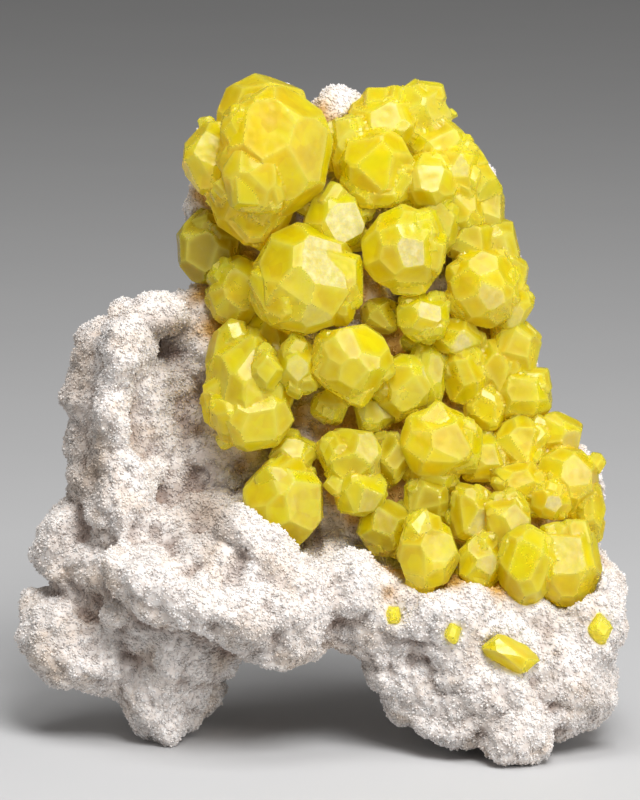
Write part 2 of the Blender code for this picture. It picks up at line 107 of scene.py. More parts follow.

# Individuals of each node: middle and half sizes, the way the basal face looks in degrees to the right and
# up, the spin about it, the habit, and the dust and painted reflection on that face. Then any faces that
# stand
# out: how far to the right and up the face is seen, in half sizes, how far out it stands, and its dust and
# painted reflection.
CRYSTALS = {
    "rosette_top_left": (
        ((-7.3, -5.0, 103.4), (9.8, 8.2, 11.6), (28, 12), 20, "round", 0.25,
         (0.59, -0.07, 0.82, 0.35), (-0.13, 0.29, 0.88, 0.0), (0.37, 0.71, 0.86, 0.15),
         (-0.18, -0.75, 0.88, 0.0)),
        ((-11.2, -9.5, 99.4), (5.6, 4.8, 6.6), (-8, -12), 50, "blocky", 0.1,
         (0.19, -0.07, 0.84, 0.1), (-0.55, 0.38, 0.88, 0.2)),
        ((-10.0, 3.0, 109.0), (8.0, 7.0, 7.4), (-31, 29), 35, "blocky", 0.0,
         (-0.27, 0.75, 0.86, 0.1), (-0.67, 0.36, 0.86, 0.0)),
        ((-18.6, 1.0, 101.5), (5.4, 5.5, 7.0), (-20, 30), 5, "blocky", 0.25,
         (0.02, 0.19, 0.82, 0.15), (-0.42, -0.45, 0.88, 0.3)),
        ((-11.5, -2.0, 94.0), (7.6, 6.8, 6.8), (-12, -14), 15, "blocky", 0.0),
    ),
    "shaded_crystal": (
        ((-19.6, 4.5, 85.5), (5.8, 5.8, 6.8), (27, 3), 40, "blocky", 0.25,
         (-0.13, -0.22, 0.82, 0.25), (0.31, -0.38, 0.9, 0.5)),
    ),
    "left_middle_crystal": (
        ((-14.3, 0.0, 78.2), (5.1, 5.4, 6.7), (-6, 21), 25, "blocky", 0.1,
         (0.07, 0.08, 0.84, 0.1), (0.34, 0.6, 0.88, 0.15)),
    ),
    "largest_crystal": (
        ((-2.6, -7.0, 81.8), (9.6, 8.8, 9.8), (37, 24), 32, "round", 1.0,
         (0.42, 0.24, 0.77, 1.0), (-0.03, -0.18, 0.91, 0.4), (0.19, -0.61, 0.95, 0.6),
         (-0.53, 0.31, 0.86, 0.08), (-0.28, 0.7, 0.9, 0.0)),
    ),
    "leaning_tablet": (
        ((2.6, -3.0, 90.6), (6.0, 5.2, 6.4), (34, 7), 62, "tabular", 0.9,
         (0.3, -0.06, 0.72, 0.95), (-0.51, 0.29, 0.88, 0.1)),
    ),
    "top_right_cluster": (
        ((9.7, -1.0, 100.2), (6.6, 6.2, 7.4), (0, 15), 20, "tabular", 0.05,
         (0.09, -0.11, 0.82, 0.03), (-0.38, 0.45, 0.88, 0.1), (0.57, 0.45, 0.9, 0.05)),
        ((5.0, 1.5, 103.2), (3.6, 4.4, 6.2), (-28, 32), 60, "blocky", 0.35,
         (0.03, -0.01, 0.84, 0.4)),
        ((11.0, 4.5, 107.4), (6.8, 5.4, 5.8), (-35, 53), 15, "blocky", 0.25,
         (-0.02, 0.14, 0.88, 0.6), (-0.61, 0.08, 0.86, 0.1)),
        ((17.0, 7.0, 108.9), (6.0, 5.5, 5.6), (46, 13), 70, "blocky", 0.5,
         (0.62, -0.29, 0.86, 0.6), (-0.3, 0.37, 0.86, 0.3)),
        ((20.5, 4.5, 103.6), (5.6, 5.0, 4.8), (-22, 58), 10, "tabular", 0.1,
         (0.19, 0.09, 0.8, 0.15)),
        ((19.0, 0.0, 97.6), (5.2, 5.0, 5.4), (-6, 8), 40, "blocky", 0.3,
         (0.06, 0.16, 0.82, 0.3)),
        ((23.8, 1.6, 98.6), (4.0, 4.4, 5.4), (20, 20), 25, "plain", 0.4,
         (0.01, -0.01, 0.86, 0.8)),
        ((26.6, 4.0, 97.4), (4.0, 4.6, 5.2), (40, 31), 55, "plain", 0.2,
         (0.18, 0.0, 0.86, 0.25)),
        ((28.2, 5.5, 92.0), (4.2, 4.8, 5.8), (31, 14), 30, "blocky", 0.3,
         (0.2, -0.47, 0.84, 0.4)),
        ((24.2, 2.0, 92.6), (4.3, 4.6, 4.8), (21, 33), 30, "plain", 0.5,
         (-0.16, -0.09, 0.84, 0.2)),
    ),
    "round_crystal": (
        ((14.4, -5.0, 86.5), (7.4, 6.8, 7.8), (16, 0), 48, "round", 1.0,
         (0.17, -0.11, 0.88, 1.0), (-0.36, 0.69, 0.9, 0.05), (-0.5, -0.53, 0.92, 0.0)),
    ),
    "pale_crystal": (
        ((20.3, 0.0, 90.3), (4.2, 4.4, 5.6), (21, 12), 15, "plain", 0.45,
         (0.02, 0.01, 0.82, 0.45)),
    ),
    "right_shoulder": (
        ((28.0, -1.0, 79.2), (6.5, 6.0, 7.2), (18, 7), 75, "blocky", 0.45,
         (0.08, 0.59, 0.89, 0.45), (0.13, -0.25, 0.93, 0.7), (-0.45, -0.04, 0.88, 0.05),
         (0.37, -0.71, 0.93, 0.5)),
        ((25.8, 2.0, 87.0), (4.2, 4.2, 4.2), (7, 30), 25, "plain", 0.4,
         (0.03, 0.05, 0.86, 0.2)),
        ((31.0, 4.5, 85.6), (3.7, 4.4, 4.8), (37, 8), 50, "plain", 0.2,
         (0.13, -0.12, 0.84, 0.35)),
        ((32.9, 3.5, 80.6), (3.4, 4.2, 4.6), (37, 8), 20, "plain", 0.2,
         (0.09, -0.53, 0.86, 0.3)),
        ((32.6, 1.5, 75.6), (4.2, 4.2, 4.0), (-6, 16), 10, "plain", 0.6,
         (0.19, -0.28, 0.86, 0.7)),
    ),
    "bright_tablet": (
        ((17.8, -5.0, 74.9), (5.1, 4.4, 4.1), (21, 26), 32, "tabular", 0.85,
         (0.3, 0.17, 0.82, 0.9), (-0.52, -0.04, 0.88, 0.05)),
    ),
    "olive_crystal": (
        ((10.2, -2.0, 74.6), (3.4, 3.6, 3.3), (-12, 21), 45, "plain", 0.0,
         (0.03, -0.12, 0.84, 0.1)),
    ),
    "dark_chip": (
        ((15.6, -0.8, 70.0), (2.6, 2.6, 2.1), (7, 34), 10, "tabular", 0.0),
    ),
    "right_middle_cluster": (
        ((24.9, -2.5, 64.2), (3.9, 4.2, 5.5), (3, 10), 60, "tabular", 0.45,
         (-0.05, -0.09, 0.84, 0.3)),
        ((23.2, -1.5, 70.8), (4.6, 4.0, 3.3), (15, 18), 70, "plain", 0.95,
         (0.33, -0.22, 0.93, 0.9), (-0.35, 0.09, 0.88, 0.1)),
        ((34.0, 1.0, 68.2), (4.3, 4.6, 5.5), (18, 15), 20, "plain", 0.3,
         (0.06, 0.03, 0.86, 0.25)),
        ((30.2, 0.5, 65.0), (4.3, 4.4, 5.4), (0, 16), 10, "plain", 0.1,
         (0.05, -0.2, 0.86, 0.15)),
        ((35.0, 0.5, 60.4), (6.0, 5.6, 5.2), (3, 22), 45, "blocky", 0.2,
         (-0.01, 0.06, 0.88, 0.25), (-0.59, -0.21, 0.9, 0.05)),
        ((28.6, -1.5, 58.4), (3.7, 3.8, 4.1), (6, 27), 15, "plain", 0.1,
         (-0.07, -0.03, 0.86, 0.1)),
    ),
    "wavy_crystal": (
        ((5.4, -9.0, 67.8), (7.2, 6.4, 6.9), (-6, -17), 15, "round", 0.15,
         (-0.04, 0.41, 0.92, 0.1), (0.01, -0.32, 0.94, 0.25)),
    ),
    "narrow_crystal": (
        ((-4.1, -9.2, 67.0), (3.5, 4.4, 5.5), (7, 10), 86, "tabular", 0.75,
         (0.06, -0.13, 0.8, 0.7)),
    ),
    "rosette_left": (
        ((-12.0, -6.0, 62.6), (8.1, 7.2, 10.6), (3, 4), 85, "blocky", 0.3,
         (-0.28, 0.59, 0.88, 0.15), (0.36, -0.2, 0.9, 0.2)),
        ((-11.4, -9.0, 58.0), (6.8, 5.8, 6.0), (10, -6), 60, "blocky", 0.25,
         (-0.25, -0.09, 0.86, 0.2), (0.69, -0.09, 0.86, 0.4), (0.18, -0.67, 0.92, 0.1)),
        ((-14.4, -3.5, 67.8), (5.8, 6.2, 6.2), (-30, 26), 40, "blocky", 0.15,
         (-0.4, -0.17, 0.86, 0.15)),
        ((-9.2, -11.0, 66.4), (2.9, 2.9, 3.5), (6, 8), 0, "plain", 0.2,
         (0.03, -0.04, 0.84, 0.25)),
        ((-9.2, -3.0, 70.8), (4.1, 4.4, 3.6), (8, 47), 30, "plain", 0.1,
         (0.11, 0.16, 0.84, 0.2)),
    ),
    "small_rim_crystal": (
        ((1.6, -5.0, 59.2), (3.3, 3.2, 2.8), (-12, 4), 20, "plain", 0.0,
         (-0.09, 0.26, 0.86, 0.1)),
    ),
    "grey_facet_crystal": (
        ((9.2, -4.0, 57.6), (3.6, 3.6, 3.3), (47, 21), 35, "plain", 0.9,
         (0.45, 0.28, 0.84, 0.8), (-0.46, 0.12, 0.88, 0.0)),
    ),
    "paired_crystals": (
        ((14.2, -4.5, 62.8), (5.4, 5.0, 5.9), (9, -17), 80, "blocky", 0.25,
         (0.24, -0.32, 0.86, 0.35), (-0.14, 0.68, 0.9, 0.1), (0.79, 0.33, 0.97, 0.9)),
        ((18.4, -3.0, 64.2), (3.7, 4.2, 5.8), (31, 14), 20, "blocky", 0.5,
         (0.44, 0.11, 0.86, 0.5)),
    ),
    "deep_gold_crystal": (
        ((20.6, -8.5, 53.4), (7.1, 6.4, 6.4), (15, 15), 65, "blocky", 0.2,
         (0.26, 0.07, 0.84, 0.3), (-0.52, 0.02, 0.88, 0.0), (0.02, -0.69, 0.9, 0.1)),
        ((19.8, -7.5, 47.9), (5.0, 4.6, 3.6), (-6, -11), 30, "plain", 0.1,
         (-0.09, -0.25, 0.86, 0.1)),
    ),
    "capped_crystal": (
        ((5.5, -9.0, 51.0), (5.8, 5.4, 5.5), (41, 52), 30, "blocky", 0.75,
         (0.44, 0.34, 0.89, 0.75), (0.77, -0.29, 0.9, 0.6), (-0.07, -0.29, 0.87, 0.15)),
        ((6.9, -10.5, 45.2), (4.8, 4.4, 4.4), (34, -12), 40, "plain", 0.7,
         (0.28, -0.35, 0.86, 0.6), (-0.55, -0.35, 0.88, 0.1)),
        ((2.8, -11.5, 46.7), (2.2, 2.2, 2.0), (-13, 27), 10, "plain", 0.2),
    ),
    "dark_sliver": (
        ((12.6, -8.0, 50.8), (2.9, 3.6, 4.4), (18, 10), 0, "plain", 0.0),
    ),
    "lower_left_crystal": (
        ((-6.4, -10.2, 43.0), (7.6, 7.2, 8.2), (38, 1), 40, "blocky", 0.35,
         (-0.49, 0.33, 0.84, 0.0), (0.51, -0.03, 0.83, 0.35), (0.15, -0.67, 0.88, 0.0)),
        ((-4.5, -6.5, 51.2), (4.3, 4.2, 3.0), (0, 47), 15, "plain", 0.1,
         (0.02, 0.29, 0.84, 0.1)),
    ),
    "low_olive_crystal": (
        ((11.8, -10.5, 38.8), (5.3, 4.8, 4.8), (-6, 21), 25, "plain", 0.0,
         (-0.12, 0.27, 0.86, 0.0)),
    ),
    "dull_crystal": (
        ((18.4, -9.5, 43.8), (4.2, 4.0, 4.1), (12, 21), 35, "plain", 0.15,
         (-0.11, 0.01, 0.84, 0.15)),
    ),
    "pale_faced_crystal": (
        ((18.4, -16.5, 35.8), (5.4, 5.6, 7.2), (17, 30), 10, "tabular", 0.55,
         (0.3, 0.26, 0.8, 0.55), (-0.47, -0.23, 0.88, 0.1), (0.68, -0.49, 0.9, 0.4)),
    ),
    "cluster_foot_middle": (
        ((27.5, -15.0, 33.6), (4.2, 4.6, 5.3), (34, 11), 82, "tabular", 0.65,
         (0.24, -0.08, 0.84, 0.7), (-0.46, 0.05, 0.88, 0.05)),
        ((26.0, -11.0, 41.4), (4.0, 4.4, 5.6), (18, -8), 30, "plain", 0.75,
         (0.37, -0.36, 0.9, 0.8), (-0.24, 0.1, 0.88, 0.0)),
        ((32.0, -12.0, 40.6), (4.2, 4.6, 5.5), (18, 18), 70, "plain", 0.45,
         (0.37, 0.03, 0.86, 0.5), (-0.21, -0.35, 0.88, 0.05)),
    ),
    "cluster_foot_right": (
        ((35.4, -16.5, 33.8), (5.0, 5.4, 7.2), (-6, 10), 20, "blocky", 0.0,
         (-0.02, 0.05, 0.84, 0.0), (-0.44, -0.67, 0.9, 0.1)),
        ((42.4, -14.0, 33.4), (6.3, 6.2, 7.8), (-3, 23), 50, "blocky", 0.6,
         (-0.08, 0.22, 0.82, 0.65), (0.55, -0.52, 0.88, 0.2), (-0.41, -0.67, 0.9, 0.0)),
    ),
    "upper_right_cluster": (
        ((39.9, -10.0, 43.8), (3.7, 3.8, 3.6), (0, 16), 40, "tabular", 1.0,
         (0.07, -0.21, 0.84, 1.0)),
        ((34.6, -7.5, 46.2), (4.7, 4.6, 4.0), (3, 27), 65, "plain", 0.1,
         (0.0, 0.11, 0.86, 0.1)),
        ((42.6, -6.5, 46.4), (5.8, 5.6, 6.3), (13, 24), 80, "blocky", 0.45,
         (0.2, 0.23, 0.86, 0.5), (-0.48, 0.29, 0.86, 0.0)),
        ((41.2, -1.5, 53.4), (4.6, 4.8, 4.0), (15, 4), 25, "plain", 0.55,
         (0.49, -0.19, 0.88, 0.6), (-0.23, 0.16, 0.88, 0.1)),
        ((46.4, -5.5, 41.2), (3.0, 5.0, 6.8), (45, 7), 10, "blocky", 0.2,
         (0.11, -0.03, 0.86, 0.2)),
        ((34.8, -3.5, 52.4), (5.0, 4.8, 4.8), (7, 34), 5, "plain", 0.1,
         (0.03, 0.12, 0.86, 0.15)),
        ((28.0, -5.0, 50.0), (4.2, 4.2, 4.4), (12, 21), 50, "plain", 0.0,
         (-0.08, -0.14, 0.86, 0.05)),
    ),
    "leaning_shard": (
        ((32.4, -24.5, 19.7), (5.4, 2.8, 3.4), (7, 37), 40, "tabular", 0.0,
         (0.29, 0.28, 0.42, 0.1), (-0.29, -0.28, 0.42, 0.0)),
    ),
    "lone_crystal_right": (
        ((47.9, -19.4, 23.0), (1.9, 2.4, 2.4), (25, 21), 0, "plain", 0.0),
    ),
    "lone_crystal_middle": (
        ((22.6, -24.5, 23.4), (1.1, 2.0, 1.7), (0, 22), 20, "plain", 0.0),
    ),
    "lone_crystal_left": (
        ((12.6, -21.5, 26.0), (1.1, 2.0, 1.5), (0, 22), 50, "plain", 0.0),
    ),
}


# Growths: how many smaller individuals grow on one, and how many crumbs lie beside it, by its mean half size.
GROWTHS = ((6.5, 5), (4.5, 3), (3.0, 2))
CRUMBS = ((6.5, 5), (3.0, 4))
GROWTH_SHARE = (0.40, 0.68)
GROWTH_OUT = (1.02, 1.20)
CRUMB_HALF = (1.1, 2.1)
CRUMB_OUT = (0.80, 0.96)
# From this mean half size on, the main body is this much smaller than the whole, with its growths.
CORE_FROM = 4.5
CORE_SHARE = 0.96
# The ball that each body's skin starts from.
BALL_SHARE = 0.96

# Sulfur colours: the bright lemon of the edges is painted highlight, and the two cream powders are dust and
# painted reflection on the faces.
SULFUR = {
    "clear": "fcf004", "deep": "e6ce00", "olive": "b8a204", "thread": "f4e63c", "edge": "fff868",
    "powder_and_reflection": "b9ae70", "pale_powder_and_reflection": "cdc38c", "through": "fcee14",
}
SULFUR_DENSITY = 110.0

# Rock, in mm
ROCK_VOXEL = 0.68
ROCK_SMOOTH = 8
ROCK_TOP = 113.2
# Rock colours: the dark brown-grey and the gap brown are painted shade, the pale yellow is painted light
# under the crystals, and the soil brown is partly painted shade.
ROCK = {
    "grey": "d6ccc5", "white": "ece7e3", "stain": "c6ae94", "soil_and_shade": "8c7660", "hollow_shade": "80685a",
    "ochre": "b08030", "between": "b88a34", "socket_glow": "f0e264",
}
# Rounded fillings behind the crystals: middle and half sizes.
ROCK_FILL = (((-24.0, 6.0, 66.0), (8.0, 5.0, 9.0)), ((-16.5, 3.0, 50.0), (7.0, 7.0, 8.0)),
             ((-17.5, -15.0, 34.5), (6.5, 7.0, 5.0)), ((2.5, 2.5, 57.0), (9.0, 6.0, 5.5)),
             ((7.5, 2.0, 78.5), (4.5, 5.5, 5.0)), ((13.5, 2.0, 70.0), (4.5, 5.0, 4.0)))
# Heads of the rock's skin: how high they stand, how wide they are, their shift and their mean.
ROCK_HEADS = ((1.9, 5.6, 0.0, 0.66), (1.15, 2.6, 4.0, 0.64), (0.45, 1.3, 9.0, 0.62))
ROCK_GRIT = (0.25, 0.9, 8.0)
ROCK_SINK = 0.1
# How the hollows that take the painted shade are found: rounds of smoothing, and the weight of each.
ROCK_HOLLOWS = ((25, 0.9), (220, 0.22))
# Brown spots on the rock as the camera sees it: right, up, radius in mm, and share. The first four rows are
# painted shade down the fin's left side and in the recess and pits beside it, with some stain in the recess;
# the brown groove on the right is a stain.
SOIL_AND_SHADE = (
    (-41.7, 8.7, 3.5, 0.45), (-42.6, 1.7, 3.8, 0.5), (-40.8, -6.9, 3.8, 0.5), (-41.7, -15.6, 4.2, 0.5),
    (-39.1, -12.1, 3.1, 0.35), (-26.1, 12.1, 4.5, 0.5), (-23.5, 3.5, 4.9, 0.4), (-21.8, -5.2, 4.5, 0.35),
    (-20.9, -17.3, 5.2, 0.5), (-18.3, -20.8, 3.8, 0.45), (-15.3, -9.0, 3.8, 0.4),
    (-24.4, 12.1, 2.1, 0.35), (-21.1, -5.2, 1.0, 1.0), (-13.8, -11.8, 1.6, 1.0),
    (-45.2, -25.1, 4.5, 0.25), (-46.9, -42.5, 5.2, 0.2), (-38.2, -34.7, 3.5, 0.3),
    (34.2, -36.1, 1.0, 0.5), (36.7, -37.8, 1.2, 0.6), (38.9, -40.2, 1.2, 0.6), (40.3, -43.4, 1.2, 0.6),
    (39.8, -47.2, 1.2, 0.5), (39.4, -50.3, 1.2, 0.4), (27.7, -55.5, 5.2, 0.25), (46.7, -50.3, 4.3, 0.2),
    (-12.2, -39.0, 4.9, 0.25), (-3.6, -41.6, 4.2, 0.25), (7.7, -45.1, 2.8, 0.3),
)
OCHRE = (11.7, -32.9, 1.6, 0.7)
CRYSTAL_GAP_REACH = 8.0
ROCK_PAINT = ("hollow_shade", "between", "socket_glow", "soil_and_shade", "ochre")

# Sugary grains, in mm
GRAIN_PIECES = 4
GRAINS_PER_PIECE = 24900
GRAIN_HALF = 0.23
GRAIN_SPREAD = 0.25
GRAIN_LIMITS = (0.12, 0.45)
GRAIN_TILT = 0.45
GRAIN_FLOOR = 0.3
GRAIN_FACES = ((0, 1, 4), (1, 2, 4), (2, 3, 4), (3, 0, 4), (1, 0, 5), (2, 1, 5), (3, 2, 5), (0, 3, 5))
GRAIN_CORNERS = 6
FRONT_EXTRA = 2.0

# Studio: each softbox's azimuth and elevation, its distance, width and height in metres, and its power.
SOFTBOXES = {
    "key": (18, 48, 0.9, 0.40, 0.40, 9.3),
    "gloss": (52, 10, 1.0, 0.26, 0.34, 4.0),
    "top": (-20, 76, 0.9, 0.40, 0.40, 3.2),
    "fill": (-55, 20, 1.1, 0.50, 0.50, 1.3),
}
ROOM_COLOUR = (1.0, 0.98, 0.95, 1.0)
ROOM_LIGHT = 0.15
FLOOR_HALF = 4.0


# ---------------------------------------------------------------------------------------------------------
# Materials

class Value:
    """One number socket of a look, with arithmetic that adds Math nodes."""

    def __init__(self, look, socket):
        self.look = look
        self.socket = socket

    def math(self, operation, *values):
        return self.look.node("ShaderNodeMath", {"operation": operation}, *values)

    def __add__(self, other):
        return self.math("ADD", self, other)

    __radd__ = __add__

    def __sub__(self, other):
        return self.math("SUBTRACT", self, other)

    def __rsub__(self, other):
        return self.math("SUBTRACT", other, self)

    def __mul__(self, other):
        return self.math("MULTIPLY", self, other)

    __rmul__ = __mul__

    def least(self, other):
        return self.math("MINIMUM", self, other)


class Look:
    """A material with its Principled shader, and the means to feed it."""

    def __init__(self, name, **constants):
        self.material = bpy.data.materials.new(name)
        self.material.use_nodes = True
        self.tree = self.material.node_tree
        self.shader = next(n for n in self.tree.nodes if n.type == "BSDF_PRINCIPLED")
        self.out = next(n for n in self.tree.nodes if n.type == "OUTPUT_MATERIAL")
        for socket, value in constants.items():
            self.shader.inputs[socket.replace("_", " ")].default_value = value
        self.place = self.node("ShaderNodeTexCoord", {}, output="Object")

    def node(self, kind, settings, *values, output=0, **named):
        """A new node with its settings, then the values or links of its sockets; its output as a Value."""
        made = self.tree.nodes.new(kind)
        for key, value in settings.items():
            setattr(made, key, value)
        sockets = list(zip(made.inputs, values))
        sockets += [(made.inputs[key.replace("_", " ")], value) for key, value in named.items()]
        for socket, value in sockets:
            if isinstance(value, Value):
                self.tree.links.new(value.socket, socket)
            else:
                socket.default_value = value
        return Value(self, made.outputs[output])

    def mottle(self, size, detail=3.0, rough=0.55, shift=0.0):
        """Cloudy noise from 0 to 1 with patches of about size in mm."""
        place = self.node("ShaderNodeVectorMath", {"operation": "ADD"}, self.place, (shift, shift, shift))
        return self.node("ShaderNodeTexNoise", {}, Vector=place, Scale=1.0 / (size * MM), Detail=detail,
                         Roughness=rough, output="Fac")

    def cells(self, size, output="Distance"):
        """Cells of about size in mm: the distance from their middles, or one flat shade for each."""
        return self.node("ShaderNodeTexVoronoi", {}, Vector=self.place, Scale=1.0 / (size * MM),
                         output=output)

    def between(self, value, low, high):
        """0 below low, 1 above high, eased in between."""
        return self.node("ShaderNodeMapRange", {"interpolation_type": "SMOOTHSTEP"}, value, low, high,
                         0.0, 1.0)

    def blend(self, share, first, second):
        """The first colour, with a share of the second in its place."""
        made = self.tree.nodes.new("ShaderNodeMix")
        made.data_type = "RGBA"
        for index, value in ((0, share), (6, first), (7, second)):
            if isinstance(value, Value):
                self.tree.links.new(value.socket, made.inputs[index])
            else:
                made.inputs[index].default_value = value
        return Value(self, made.outputs[2])

    def painted(self, name):
        """A number stored on the mesh under this name."""
        return self.node("ShaderNodeAttribute", {"attribute_name": name}, output="Fac")

    def feed(self, socket, value):
        self.tree.links.new(value.socket, self.shader.inputs[socket])

    def cover(self, share, colour, **constants):
        """A second Principled shader over the first, by a share from 0 to 1."""
        over = self.tree.nodes.new("ShaderNodeBsdfPrincipled")
        for socket, value in constants.items():
            over.inputs[socket.replace("_", " ")].default_value = value
        mixed = self.tree.nodes.new("ShaderNodeMixShader")
        for start, end in ((colour.socket, over.inputs["Base Color"]), (share.socket, mixed.inputs[0]),
                           (self.shader.outputs[0], mixed.inputs[1]), (over.outputs[0], mixed.inputs[2]),
                           (mixed.outputs[0], self.out.inputs["Surface"])):
            self.tree.links.new(start, end)

    def relief(self, height, depth, strength):
        """Bump whose height of 1 stands depth mm high."""
        bump = self.node("ShaderNodeBump", {}, Strength=strength, Distance=depth * MM, Height=height,
                         output="Normal")
        self.feed("Normal", bump)

    def absorb(self, colour, density):
        """Light that goes through the body takes on this colour."""
        haze = self.node("ShaderNodeVolumeAbsorption", {}, Color=colour, Density=density, output="Volume")
        self.tree.links.new(haze.socket, self.out.inputs["Volume"])


def rgb(code):
    """Linear colour of a hex code."""
    levels = [int(code[i:i + 2], 16) / 255 for i in (0, 2, 4)]
    return tuple(v / 12.92 if v <= 0.04045 else ((v + 0.055) / 1.055) ** 2.4 for v in levels) + (1.0,)


def sulfur_look(name):
    """Clear yellow crystal, cloudy inside, with painted highlights along its edges and a cream powder on some
    faces that is dust and painted reflection.
    """
    look = Look(name, IOR=1.5, Specular_IOR_Level=0.30, Transmission_Weight=0.57,
                Subsurface_Weight=0.6, Subsurface_Radius=(1.0, 0.90, 0.05), Subsurface_Scale=0.004)
    hue = {part: rgb(code) for part, code in SULFUR.items()}
    cloud = look.mottle(4.5, 3.0)
    thread = look.mottle(1.1, 4.0, 0.6, 3.7)
    rim, tone, tint, dust_and_reflection = (look.painted(part) for part in ("rim", "tone", "tint", "dust_and_reflection"))
    zone = look.cells(2.6, "Color")
    depth = look.between(cloud + 0.25 * tint + 0.45 * tone + 0.35 * (zone - 0.5), 0.42, 1.05)
    colour = look.blend(depth, hue["clear"], hue["deep"])
    # Olive by the node's tone, which on shaded_crystal is painted shade.
    colour = look.blend(0.7 * look.between(tone + 0.5 * (cloud - 0.5), 0.45, 1.0), colour, hue["olive"])
    colour = look.blend(0.42 * look.between(thread, 0.58, 0.80), colour, hue["thread"])
    # Painted highlight: bright lemon along every edge of the crystals.
    look.feed("Base Color", look.blend(0.55 * rim, colour, hue["edge"]))
    # Cream cover on the dusty faces: partly dust, partly painted reflection of the light on faces turned to
    # it.
    veil = dust_and_reflection * dust_and_reflection * (0.50 + 0.50 * look.between(look.mottle(1.0, 5.0, 0.72, 6.0), 0.34, 0.62))
    powder_and_reflection = look.blend(look.between(thread, 0.40, 0.70), hue["powder_and_reflection"], hue["pale_powder_and_reflection"])
    look.cover(veil.least(0.9), powder_and_reflection, Roughness=0.42, Subsurface_Weight=0.3, Subsurface_Scale=0.001)
    look.feed("Roughness", 0.13 + 0.20 * tint + 0.16 * look.mottle(2.6, 4.0, 0.6, 9.1) + 0.1 * dust_and_reflection)
    pits = look.between(look.cells(0.9), 0.02, 0.16)
    look.relief(0.6 * look.mottle(0.55, 4.0, 0.65, 5.3) + 0.4 * pits, 0.04, 0.5)
    look.absorb(hue["through"], SULFUR_DENSITY)
    return look.material


def rock_look(name, fine_relief):
    """White sugary rock, with painted shade in its hollows, under overhangs and in the gaps between crystals,
    painted light under the crystals, and brown spots of soil and painted shade.
    """
    look = Look(name, IOR=1.5, Specular_IOR_Level=0.35, Subsurface_Weight=0.5,
                Subsurface_Radius=(1.0, 0.92, 0.85), Subsurface_Scale=0.0009)
    hue = {part: rgb(code) for part, code in ROCK.items()}
    hollow_shade, between, socket_glow, soil_and_shade, ochre = (look.painted(part) for part in ROCK_PAINT)
    speck = look.mottle(1.3, 5.0, 0.65)
    stain = look.mottle(9.0, 3.0, 0.6, 2.2)
    colour = look.blend(look.between(speck, 0.35, 0.70), hue["grey"], hue["white"])
    colour = look.blend(0.50 * look.between(stain, 0.46, 0.74), colour, hue["stain"])
    # Brown spots: stains, and painted shade on the fin's left side and in its recess and pits.
    colour = look.blend((soil_and_shade * (0.7 + 0.6 * speck)).least(1.0), colour, hue["soil_and_shade"])
    # Painted shade: brown-grey in the hollows and under overhangs.
    colour = look.blend(0.80 * look.between(hollow_shade + 0.25 * (speck - 0.5), 0.25, 0.95), colour, hue["hollow_shade"])
    colour = look.blend(ochre, colour, hue["ochre"])
    # Painted shade: brown in the gaps between the crystal nodes.
    colour = look.blend(0.95 * look.between(between, 0.10, 0.60), colour, hue["between"])
    # Painted light: pale yellow on the rock right under the crystals, so they glow from within.
    look.feed("Base Color", look.blend(look.between(socket_glow, 0.5, 0.95), colour, hue["socket_glow"]))
    look.feed("Roughness", 0.35 + 0.35 * speck)
    look.relief(look.mottle(0.35, 3.0, 0.7, 1.4), fine_relief, 0.6)
    return look.material


# ---------------------------------------------------------------------------------------------------------
# Meshes

def direction(azimuth, elevation):
    """The way that looks azimuth degrees to the right of the front and elevation degrees up."""
    a, e = math.radians(azimuth), math.radians(elevation)
    return Vector((math.sin(a) * math.cos(e), -math.cos(a) * math.cos(e), math.sin(e)))


def mesh_arrays(mesh):
    points = np.empty(len(mesh.vertices) * 3)
    mesh.vertices.foreach_get("co", points)
    edges = np.empty(len(mesh.edges) * 2, np.int64)
    mesh.edges.foreach_get("vertices", edges)
    return points.reshape(-1, 3), edges.reshape(-1, 2)


def set_points(mesh, points):
    mesh.vertices.foreach_set("co", np.ascontiguousarray(points, np.float32).ravel())
    mesh.update()


def vertex_normals(mesh):
    normals = np.empty(len(mesh.vertices) * 3)
    mesh.vertices.foreach_get("normal", normals)
    return normals.reshape(-1, 3)


def smoothed(values, edges, rounds, pull=0.6):
    """Values moved towards their neighbours' mean, a number of rounds over."""
    count = np.bincount(edges.ravel(), minlength=len(values)).astype(float)
    count = np.maximum(count, 1.0)
    values = values.astype(float)
    flat = values.ndim == 1
    if flat:
        values = values[:, None]
    for _ in range(rounds):
        total = np.empty_like(values)
        for axis in range(values.shape[1]):
            column = values[:, axis]
            total[:, axis] = (np.bincount(edges[:, 0], column[edges[:, 1]], len(values))
                              + np.bincount(edges[:, 1], column[edges[:, 0]], len(values)))
        values = values + pull * (total / count[:, None] - values)
    return values[:, 0] if flat else values


def unit_rows(rows):
    return rows / np.linalg.norm(rows, axis=1)[:, None]


def store(mesh, name, values):
    layer = mesh.attributes.new(name, "FLOAT", "POINT")
    layer.data.foreach_set("value", np.ascontiguousarray(np.clip(values, 0.0, 1.0), np.float32))


def noise_at(points, size, shift=0.0):
    """Smooth noise about -1 to 1, with waves of about size mm."""
    scale = 1.0 / (size * MM)
    offset = Vector((shift, shift, shift))
    return np.array([noise.noise(Vector(p) * scale + offset) for p in points])


def heads_at(points, size, shift):
    """Rounded heads of about size mm, 1 at their tops and 0 in the creases between them."""
    scale = 1.0 / (size * MM)
    offset = Vector((shift, shift, shift))
    near = np.array([noise.voronoi(Vector(p) * scale + offset)[0][0] for p in points])
    return 1.0 - np.clip(near, 0.0, 1.0) ** 2


